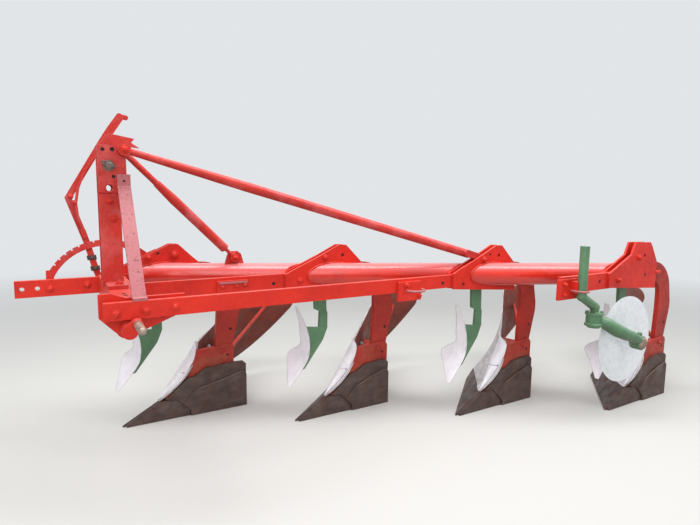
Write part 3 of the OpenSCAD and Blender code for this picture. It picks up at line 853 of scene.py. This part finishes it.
def crank_outline(y):
    """A crank from the side: half a circle about the shaft, then half of one about the pin."""
    lean = math.atan2(PIN[1] - SHAFT[1], PIN[0] - SHAFT[0])
    halves = (SHAFT, CRANK_R, lean + math.pi / 2), (PIN, CRANK_END_R, lean - math.pi / 2)
    outline = []
    for centre, radius, start in halves:
        for k in range(CRANK_STEPS + 1):
            a = start + math.pi * k / CRANK_STEPS
            outline.append(at(1, centre[0] + radius * math.cos(a), y, centre[1] + radius * math.sin(a)))
    return outline


print("pins are", 2 * PIN_R, "mm thick and", PIN_LENGTH, "mm long")

# %% Turn the shaft and the pins
axle = Workpiece()
shaft_length = NEAR_CRANK - FAR_CRANK + SHAFT_INSET
lathe(axle, at(1, SHAFT[0], FAR_CRANK + SHAFT_INSET, SHAFT[1]), Y, [(0, SHAFT_R), (shaft_length, SHAFT_R)])
for y in (FAR_CRANK, NEAR_CRANK):
    slab(axle, crank_outline(y), Y * CRANK_T * MM)
lathe(axle, at(1, SHAFT[0], BARREL_START, SHAFT[1]), Y, BARREL_TURNING)
for y, way in ((NEAR_CRANK + CRANK_T, 1), (FAR_CRANK, -1)):
    spot = at(1, PIN[0], y, PIN[1])
    lathe(axle, spot, way * Y, PIN_TURNING, sides=40, material=1)
    lathe(axle, spot, way * Y, SHOULDER_TURNING, sides=40)
    hole = at(1, PIN[0] + LINCH_X, y + way * (PIN_LENGTH - LINCH_FROM_END), PIN[1] + LINCH_Z)
    # The linch pin's hole is a dark ring of painted shade
    lathe(axle, hole, LINCH_WAY, LINCH_RIM, sides=16, material=2)
axle.done("turned_cross_shaft", "link_axle", "bare_steel", red_paint, bare_steel, hole_shade,
          stands_for=("cross_shaft",))
print("cross shaft turned")

# %% [markdown]
# ## The disc
#
# In front of the last body a disc slices the turf, so that the furrow wall stands clean. It spins on an
# axle through its hub. Blade and hub are turned as one closed profile, which is how they look once they
# are bolted up, and five bolt heads sit in a ring round the hub.

# %% Turn the disc
DISC_X, DISC_Z = 224, 416
HUB_BOLTS, HUB_BOLT_RING, BLADE_FACE = 5, 66, 54.5
DISC_TURNING = [
    (34, 15.2), (34, 38), (38, 46), (49.5, 48), (49.5, 214), (51.6, 234.8), (52.4, 234.8), (54.5, 214),
    (54.5, 48), (60, 47), (64, 43), (90, 43), (96, 39), (96, 15.2)]
HEAD_TURNING = [(0, 9), (2, 9), (2, 7), (7, 7), (8.5, 5)]

disc_axis = at(4, DISC_X, 0, DISC_Z)
disc = Workpiece()
lathe(disc, disc_axis, Y, DISC_TURNING, sides=96, closed=True)
for k in range(HUB_BOLTS):
    a = 2 * math.pi * k / HUB_BOLTS
    spot = at(4, DISC_X + HUB_BOLT_RING * math.cos(a), BLADE_FACE, DISC_Z + HUB_BOLT_RING * math.sin(a))
    lathe(disc, spot, Y, HEAD_TURNING, sides=6, turn=a)
disc.done("turned_disc", "coulter_disc", "pale_steel", white_disc, sharp=20, stands_for=("coulter_disc",))
print("disc turned with", HUB_BOLTS, "bolts")

# %% [markdown]
# ## The cast arm of the disc
#
# The arm holds the disc's axle and trails behind a swivel at the foot of a cranked round stem. A
# casting is fat where it is bored and thin in between, with no flat on it: a bent bar with a radius
# that changes along the way gives that at once, and turned rings at its ends are the two bores.

# %% Bend the arm
# The swivel's axis is upright: x and y, and its turning in heights above the ground
SWIVEL = (500, 42)
SWIVEL_TURNING = [
    (521, 17.2), (521, 44), (532, 44), (536, 39), (576, 39), (580, 44), (591, 43), (591, 17.2)]
SWIVEL_TOP, SWIVEL_BOLTS, SWIVEL_BOLT_RING = 591, 4, 35
ARM_PATH = ((482, 60, 552), (466, 72, 543), (446, 88, 529), (405, 110, 500), (350, 122, 476), (292, 129, 456),
            (250, 132, 436), (DISC_X, 133, DISC_Z))
ARM_RADII = (18, 30, 34, 35, 32, 29, 26, 24)
AXLE_RING_TURNING = [(102, 15.2), (102, 34), (106, 38), (146, 38), (150, 34), (150, 15.2)]
# The axle with its head on the far side, and its cap on the land side
AXLE_TURNING = [(16, 0), (16, 21), (19, 25), (32, 25), (32, 15), (150, 15)]
CAP_TURNING = [(149, 31), (153, 31), (157, 27), (159.5, 16), (159.5, 0)]
# Lug for the grease nipple
LUG_Y, LUG_HEIGHTS, LUG_RADII = 128, (448, 468, 472), (15, 12, 8)

arm = Workpiece()
lathe(arm, at(4, *SWIVEL, 0), Z, SWIVEL_TURNING, sides=40, closed=True)
bend(arm, [at(4, *point) for point in ARM_PATH], ARM_RADII, sides=28)
lathe(arm, disc_axis, Y, AXLE_RING_TURNING, sides=40, closed=True)
bend(arm, [at(4, DISC_X, LUG_Y, z) for z in LUG_HEIGHTS], LUG_RADII, sides=16)
lathe(arm, disc_axis, Y, AXLE_TURNING, material=1)
lathe(arm, disc_axis, Y, CAP_TURNING, material=1)
for k in range(SWIVEL_BOLTS):
    a = math.pi / 4 + 2 * math.pi * k / SWIVEL_BOLTS
    spot = at(4, SWIVEL[0] + SWIVEL_BOLT_RING * math.cos(a), SWIVEL[1] + SWIVEL_BOLT_RING * math.sin(a),
              SWIVEL_TOP)
    lathe(arm, spot, Z, [(0, 7.5), (6, 7.5), (7.5, 5)], sides=6)
arm.done("cast_arm", "coulter_arm", "green_paint", green_paint, bare_steel, stands_for=("coulter_arm",))
print("arm bent through", len(ARM_PATH), "points")

# %% [markdown]
# ## A bolt and a hole
#
# The frame is bolted together so that a farmer can change its width. Each joint shows a washer, a nut
# and the end of its bolt, all under the same paint. Spare holes stay open beside them, for the next
# setting. A nut is only a lathe with six sides. No two nuts stop at the same angle, so each is turned
# by its own place. An open hole is a shallow dish in painted shade, because a deep one would need a cut
# in the bar.

# %% Turn a bolt, drill a hole
def bolt(work, spot, axis, over, material=0):
    """Washer, nut and bolt end. over is the size over the washer, in millimetres."""
    turn = 1.7 * spot.x + 2.3 * spot.z
    rim, nut, end = 0.5 * over, 0.37 * over, 0.185 * over
    lathe(work, spot, axis, [(0, rim), (2.4, rim), (3.2, rim - 1)], sides=28, material=material)
    lathe(work, spot, axis, [(3, nut), (11, nut), (13, 0.86 * nut)], sides=6, turn=turn, material=material)
    lathe(work, spot, axis, [(12, end), (17, end), (19, 0.72 * end)], sides=16, material=material)


def open_hole(work, spot, axis, across):
    """A drilled hole, drawn as a dish with a rubbed lip, all in painted shade."""
    rim = across / 2
    dish = [(0.1, rim), (0.6, rim - 0.8), (0.2, rim - 1.6), (0.2, 0)]
    lathe(work, spot, axis, dish, sides=24, material=1)


print("bolt and hole ready")

# %% [markdown]
# ## Bolts and holes of the frame
#
# Most of the bolts point to the land side, so a table gives their place on the face and the size over
# the washer. The faces have names, because many bolts share one. Every body repeats the same bolts on
# its frog and its moldboard, and those come from the loop over the bodies instead.

# %% Bolts and holes by table
# Faces that look to the land side, measured from the near face of the bracket in the table
NEAR_FACE, BAR_FACE, BRACE_FOOT_FACE = 0, -12, 170
THIRD_BAR_FACE = 700
MAST_FACE = 355.5
CHEEK_FACE, SIDE_BRACE_FACE, EYE_FACE = MAST_FACE + 6, MAST_FACE + 16, MAST_FACE + 40
# bracket, x, y, z, over the washer
BOLTS = (
    (1, -3, NEAR_FACE, 855, 48), (1, 119, NEAR_FACE, 846, 34), (1, 393, BAR_FACE, 729, 36),
    (1, 543, BAR_FACE, 722, 34), (2, 101, NEAR_FACE, 848, 34), (2, 244, NEAR_FACE, 737, 36),
    (3, 110, NEAR_FACE, 838, 34), (4, 58, NEAR_FACE, 846, 36), (4, 240, NEAR_FACE, 732, 36),
    (1, 345, THIRD_BAR_FACE, 727, 34), (1, 244, THIRD_BAR_FACE, 730, 34), (1, 142, THIRD_BAR_FACE, 734, 34),
    (1, 317, MAST_FACE, 1123, 30), (1, 304, MAST_FACE, 1053, 32), (1, 257, EYE_FACE, 1330, 36),
    (1, -265, BRACE_FOOT_FACE, 846, 32),
)
# bracket, x, y, z, across the hole
HOLES = (
    (1, 75, NEAR_FACE, 866, 13), (3, 65, NEAR_FACE, 864, 13), (3, 252, NEAR_FACE, 716, 17),
    (4, -19, NEAR_FACE, 747, 17), (2, 380, BAR_FACE, 730, 17), (3, 383, BAR_FACE, 729, 17),
    (4, 388, BAR_FACE, 733, 17), (1, 334, CHEEK_FACE, 1328, 15), (1, 299, CHEEK_FACE, 1330, 17),
    (1, 298, CHEEK_FACE, 1222, 14), (1, 261, SIDE_BRACE_FACE, 1205, 9),
)
# Upright bolts through the foot of the mast, and spare holes in the top of the beam: x, y
MAST_FOOT_TOP, BEAM_TOP = 790, 775
FOOT_BOLTS = ((300, 210), (300, 430))
BEAM_HOLES = ((300, 560), (298, 600))
# Stud behind the last bracket
STUD, STUD_TURNING = (-134, -6, 752), [(0, 11), (46, 11), (50, 8)]
# On every body, x and z: a bolt and a spare hole of the frog, and a spare hole of the leg
FROG_BOLT, FROG_HOLE, LEG_HOLE = (-234, 322), (-268, 296), (-290, 436)
# Nuts on a moldboard's back, by their share of the way to its tail and to its top
BOARD_NUTS = ((0.14, 0.74), (0.12, 0.64))
# They start just inside the back of the frame's plate
NUT_SEAT = 0.98
print("bolts:", len(BOLTS), "holes:", len(HOLES))

# %% Bolt the frame
fastenings = Workpiece()
for n, x, y, z, over in BOLTS:
    bolt(fastenings, at(n, x, y, z), Y, over)
for n, x, y, z, across in HOLES:
    open_hole(fastenings, at(n, x, y, z), Y, across)
for x, y in FOOT_BOLTS:
    bolt(fastenings, at(1, x, y, MAST_FOOT_TOP), Z, 36)
for x, y in BEAM_HOLES:
    open_hole(fastenings, at(1, x, y, BEAM_TOP), Z, 16)
lathe(fastenings, at(4, *STUD), -X, STUD_TURNING, sides=20)
for n in BODIES:
    bolt(fastenings, at(n, FROG_BOLT[0], NEAR_FACE, FROG_BOLT[1]), Y, 26, material=2)
    open_hole(fastenings, at(n, FROG_HOLE[0], NEAR_FACE, FROG_HOLE[1]), Y, 14)
    open_hole(fastenings, at(n, LEG_HOLE[0], BAR_FACE, LEG_HOLE[1]), Y, 16)
    for u, v in BOARD_NUTS:
        bolt(fastenings, at(n, *(moldboard_point(u, v) + NUT_SEAT * MOLD_BACK)), MOLD_BACK, 24, material=3)
fastenings.done("frame_bolts", "frame", "red_paint", bolt_paint, hole_shade, low_red, worn_face)
print("bolts on each body:", 1 + len(BOARD_NUTS))

# %% [markdown]
# ## Fittings of the hand lever
#
# The lever has a knee, held by two bolts, and two collars clamp it to its shank. They turn with the
# cross shaft, so they are a piece of their own that rides on the shaft's body.

# %% Fit the lever
KNEE_FACE, COLLAR_FACE, COLLAR_DEPTH = -62.5, -77, 19
KNEE_BOLTS = ((440, 1140), (425, 1112))
COLLAR_HEIGHTS = (800, 852)
COLLAR_CORNERS = ((-21, -9), (19, -12), (22, 9), (-18, 12))


def shank_x(z):
    """Middle of the lever's shank at height z. It leans forward."""
    return 348 + (z - 790) * 36 / 142


knee = Workpiece()
for x, z in KNEE_BOLTS:
    bolt(knee, at(1, x, KNEE_FACE, z), Y, 24)
for z in COLLAR_HEIGHTS:
    x = shank_x(z)
    outline = [at(1, x + dx, COLLAR_FACE, z + dz) for dx, dz in COLLAR_CORNERS]
    slab(knee, outline, Y * COLLAR_DEPTH * MM, material=1)
    bolt(knee, at(1, x, COLLAR_FACE + COLLAR_DEPTH, z), Y, 18, material=1)
knee.done("lever_fittings", "link_axle", "red_paint", red_paint, dark_steel)
print("collars on the lever:", len(COLLAR_HEIGHTS))

# %% [markdown]
# ## Hoops of the coulter clamps
#
# A coulter's round stem is held against the bar by a hoop of threaded rod with a nut on each end, so that
# it can be slid up and turned before it is pulled tight. The last clamp holds a stem. The other clamps
# wait empty, and one of them still has its hoop. A hoop is a bent rod, so the bender makes it.

# %% Bend the hoops
CLAMP_FACE = 2
HOOP_ROD_R, HOOP_STEPS = 5.5, 24
# The rod leaves the clamp straight for this length
HOOP_LEG = 6
# bracket, x, half its width, reach out of the clamp, z
HOOPS = ((4, 614, 32, 72, 708), (3, 580, 46, 52, 712))
# bracket, x, z, over the washer
CLAMP_NUTS = ((2, 532, 738, 26), (2, 572, 736, 22), (2, 640, 736, 26), (3, 626, 738, 28), (3, 546, 682, 24),
              (4, 700, 742, 24), (4, 700, 690, 24))
# Rusty packing plate between the second clamp and its nuts, in the faded paint, whose pink is a painted sky
# reflection: x, z
PACKING_CORNERS = ((520, 748), (655, 749), (655, 758), (520, 757))
PACKING_DEPTH = 9


def hoop(work, n, x, half, reach, z):
    """A rod out of the clamp's face, round in half an oval, and back in."""
    path = [at(n, x - half, CLAMP_FACE, z)]
    for k in range(HOOP_STEPS + 1):
        a = math.pi * k / HOOP_STEPS
        out = HOOP_LEG + (reach - HOOP_LEG) * math.sin(a) ** 0.8
        path.append(at(n, x - half * math.cos(a), CLAMP_FACE + out, z))
    path.append(at(n, x + half, CLAMP_FACE, z))
    bend(work, path, [HOOP_ROD_R] * len(path), sides=14, material=1)


clamping = Workpiece()
for row in HOOPS:
    hoop(clamping, *row)
for n, x, z, over in CLAMP_NUTS:
    bolt(clamping, at(n, x, CLAMP_FACE, z), Y, over)
slab(clamping, [at(2, x, CLAMP_FACE, z) for x, z in PACKING_CORNERS], Y * PACKING_DEPTH * MM, material=1)
clamping.done("clamp_hoops", "frame", "red_paint", bolt_paint, faded_paint)
print("hoops bent:", len(HOOPS))

# %% [markdown]
# ## Welds
#
# Each tube meets its bracket plates at a slant, so its weld runs round an oval. We carry a small circle
# along that oval, with a slight waver, because a hand weld is never even. Two straight seams run under
# the cheek of the mast and along its foot.

# %% Weld the tubes
PITCH, FURROW = -body_step.x / MM, body_step.y / MM
TUBE_R, TUBE_Z, TUBE_START = 60, 757, 56
# Land side of the bracket that a tube leaves, and far side of the next one
NEAR_WELD, FAR_WELD = 1.5, -50.5
WELD_STEPS, SEAM_STEPS = 64, 12
# x from, x to, y, z
SEAMS = ((250, 353, 356.5, 1157), (275, 345, 357.5, 790))
slant = math.hypot(PITCH, FURROW) / FURROW


def tube_weld(work, n, y):
    """A bead round the oval in which the tube passes through bracket n at y."""
    middle = TUBE_START - PITCH / FURROW * y
    path = []
    for k in range(WELD_STEPS + 1):
        a = 2 * math.pi * k / WELD_STEPS
        r = TUBE_R + 2 + 0.5 * math.sin(9 * a)
        path.append(at(n, middle + r * slant * math.cos(a), y, TUBE_Z + r * math.sin(a)))
    bend(work, path, [4.2 + 0.8 * math.sin(23 * k) for k in range(WELD_STEPS + 1)], sides=8)


welds = Workpiece()
for n in BODIES[:-1]:
    tube_weld(welds, n, NEAR_WELD)
    tube_weld(welds, n + 1, FAR_WELD)
for x_from, x_to, y, z in SEAMS:
    path = [at(1, x_from + (x_to - x_from) * k / SEAM_STEPS, y, z) for k in range(SEAM_STEPS + 1)]
    bend(welds, path, [3.4 + 0.6 * math.sin(5 * k) for k in range(SEAM_STEPS + 1)], sides=8)
welds.done("weld_beads", "frame", "red_paint", red_paint, sharp=60)
print("slant of a tube's oval:", round(slant, 3))

# %% [markdown]
# ## The top link pin
#
# The pin that waits in the upper hole of the mast has a washer, a rounded end and a split pin, whose
# legs are spread so that it can't fall out. The hole below it is empty, with a painted lip.

# %% Fit the top link pin
TOP_PIN_X, TOP_PIN_Z, EMPTY_HOLE_Z = 314, 1265, 1176
PIN_END_Y, SPLIT_PIN_Y = 392, 383
SPLIT_PIN = ((286, 1258), (296, 1262), (314, 1265), (334, 1269), (344, 1274), (338, 1282), (326, 1279))
LIP_TURNING = [(0, 13.4), (0, 18.5), (2, 18.2), (3.2, 16.5), (2.4, 13.8)]

link_pin = Workpiece()
lathe(link_pin, at(1, TOP_PIN_X, CHEEK_FACE, TOP_PIN_Z), Y, [(0.2, 22), (4, 22), (5, 20)])
lathe(link_pin, at(1, TOP_PIN_X, PIN_END_Y, TOP_PIN_Z), Y, [(0, 12.8), (3, 11), (4, 8)])
bend(link_pin, [at(1, x, SPLIT_PIN_Y, z) for x, z in SPLIT_PIN], [2.6] * len(SPLIT_PIN), sides=10)
lathe(link_pin, at(1, TOP_PIN_X, CHEEK_FACE, EMPTY_HOLE_Z), Y, LIP_TURNING, closed=True, material=1)
link_pin.done("link_pin_fittings", "frame", "bare_steel", rubbed_steel, old_paint)
print("top link pin fitted")

# %% [markdown]
# ## The floor
#
# The plough stands on a plain pale floor. The far floor fades into the background, so that no horizon
# cuts through the picture. Only the rays that show the background see the fade. The others see the
# plain floor, so that it still throws its light up at the plough.

# %% Lay the floor
BACKGROUND = srgb(226, 229, 232)
FLOOR_GREY = srgb(206, 206, 202)
FLOOR_HALF = 30.0
FADE_FROM, FADE_TO = 2.6, 7.0


def seen_ray(tree):
    """1 for rays that show the background: from the camera, in gloss and through glass."""
    rays = [make(tree, "ShaderNodeLightPath", out=name)
            for name in ("Is Camera Ray", "Is Glossy Ray", "Is Transmission Ray")]
    total = rays[0] + rays[1] + rays[2]
    return make(tree, "ShaderNodeMath", {"operation": "MINIMUM"}, {0: total, 1: 1.0})


floor_mesh = bmesh.new()
bmesh.ops.create_grid(floor_mesh, x_segments=8, y_segments=8, size=FLOOR_HALF)
floor_data = bpy.data.meshes.new("floor")
floor_mesh.to_mesh(floor_data)
floor_mesh.free()
floor = bpy.data.objects.new("floor", floor_data)
bpy.context.scene.collection.objects.link(floor)

material, tree, shader = new_material("pale_floor")
plug(shader, {"Base Color": FLOOR_GREY, "Roughness": 0.85})
spread = make(tree, "ShaderNodeVectorMath", {"operation": "LENGTH"}, {0: place(tree)}, out="Value")
far = ramp(tree, spread, FADE_FROM, FADE_TO) * seen_ray(tree)
glow = make(tree, "ShaderNodeEmission", {}, {"Color": BACKGROUND, "Strength": 1.0})
surface = make(tree, "ShaderNodeMixShader", {}, {0: far, 1: Shade(shader.outputs[0]), 2: glow})
plug(tree.nodes["Material Output"], {"Surface": surface})
floor_data.materials.append(material)
print("floor:", 2 * FLOOR_HALF, "m across")

# %% [markdown]
# ## Lamps and sky
#
# Out in the open the light comes from the whole sky. A soft even world gives most of that, and two
# large lamps give it a direction: a long strip above, which draws the light line along the round tubes
# as the sky does, and a broad one beside the camera. Large lamps cast soft shadows, as a cloudy day does.

# %% Light the sky
SKY_LIGHT, SKY_STRENGTH = srgb(240, 241, 244), 0.66

world = bpy.data.worlds.new("soft_sky")
bpy.context.scene.world = world
world.use_nodes = True
tree = world.node_tree
light = make(tree, "ShaderNodeBackground", {}, {"Color": SKY_LIGHT, "Strength": SKY_STRENGTH})
shown = make(tree, "ShaderNodeBackground", {}, {"Color": BACKGROUND, "Strength": 1.0})
both = make(tree, "ShaderNodeMixShader", {}, {0: seen_ray(tree), 1: light, 2: shown})
plug(tree.nodes["World Output"], {"Surface": both})
print("sky strength:", SKY_STRENGTH)

# %% Hang the lamps
def lamp(name, spot, target, width, length, power):
    """A rectangular soft lamp at spot, turned to target."""
    data = bpy.data.lights.new(name, "AREA")
    data.shape = "RECTANGLE"
    data.size = width
    data.size_y = length
    data.energy = power
    piece = bpy.data.objects.new(name, data)
    piece.location = spot
    piece.rotation_euler = (Vector(target) - Vector(spot)).to_track_quat("-Z", "Y").to_euler()
    bpy.context.scene.collection.objects.link(piece)
    return piece


overhead = lamp("sky_strip", (0.2, 0.6, 3.4), (0.0, 0.3, 0.6), width=6.5, length=1.0, power=150)
beside = lamp("camera_side", (3.2, 3.8, 2.8), (0.0, 0.0, 0.6), width=3.0, length=3.0, power=85)
print("lamps:", overhead.name, beside.name)

# %% [markdown]
# ## The camera
#
# The picture was taken from the land side, ahead of the headstock, at about chest height. The lens and
# the place come from the row of four equal bodies, which shrink in the picture as they stand further
# away. We write the three turns of the camera as angles, and build its axes from them.

# %% Set up the camera
CAMERA_SPOT = Vector((1.785, 2.228, 1.132))
CAMERA_TURN = math.radians(148.93)
CAMERA_PITCH = math.radians(6.91)
CAMERA_ROLL = math.radians(0.77)
FOCAL_PIXELS = 498.1
PICTURE_WIDTH = 700
SENSOR = 36.0

level = Vector((-math.sin(CAMERA_TURN), math.cos(CAMERA_TURN), 0))
right = level.cross(Z)
ahead = level * math.cos(CAMERA_PITCH) - Z * math.sin(CAMERA_PITCH)
above = Z * math.cos(CAMERA_PITCH) + level * math.sin(CAMERA_PITCH)
side = right * math.cos(CAMERA_ROLL) + above * math.sin(CAMERA_ROLL)
upper = above * math.cos(CAMERA_ROLL) - right * math.sin(CAMERA_ROLL)

camera_data = bpy.data.cameras.new("camera")
camera_data.sensor_width = SENSOR
camera_data.lens = FOCAL_PIXELS / PICTURE_WIDTH * SENSOR
camera = bpy.data.objects.new("camera", camera_data)
camera.matrix_world = Matrix.Translation(CAMERA_SPOT) @ Matrix((side, upper, -ahead)).transposed().to_4x4()
bpy.context.scene.collection.objects.link(camera)
bpy.context.scene.camera = camera
bpy.context.scene.view_settings.view_transform = "Standard"
print("lens in mm:", round(camera_data.lens, 2))
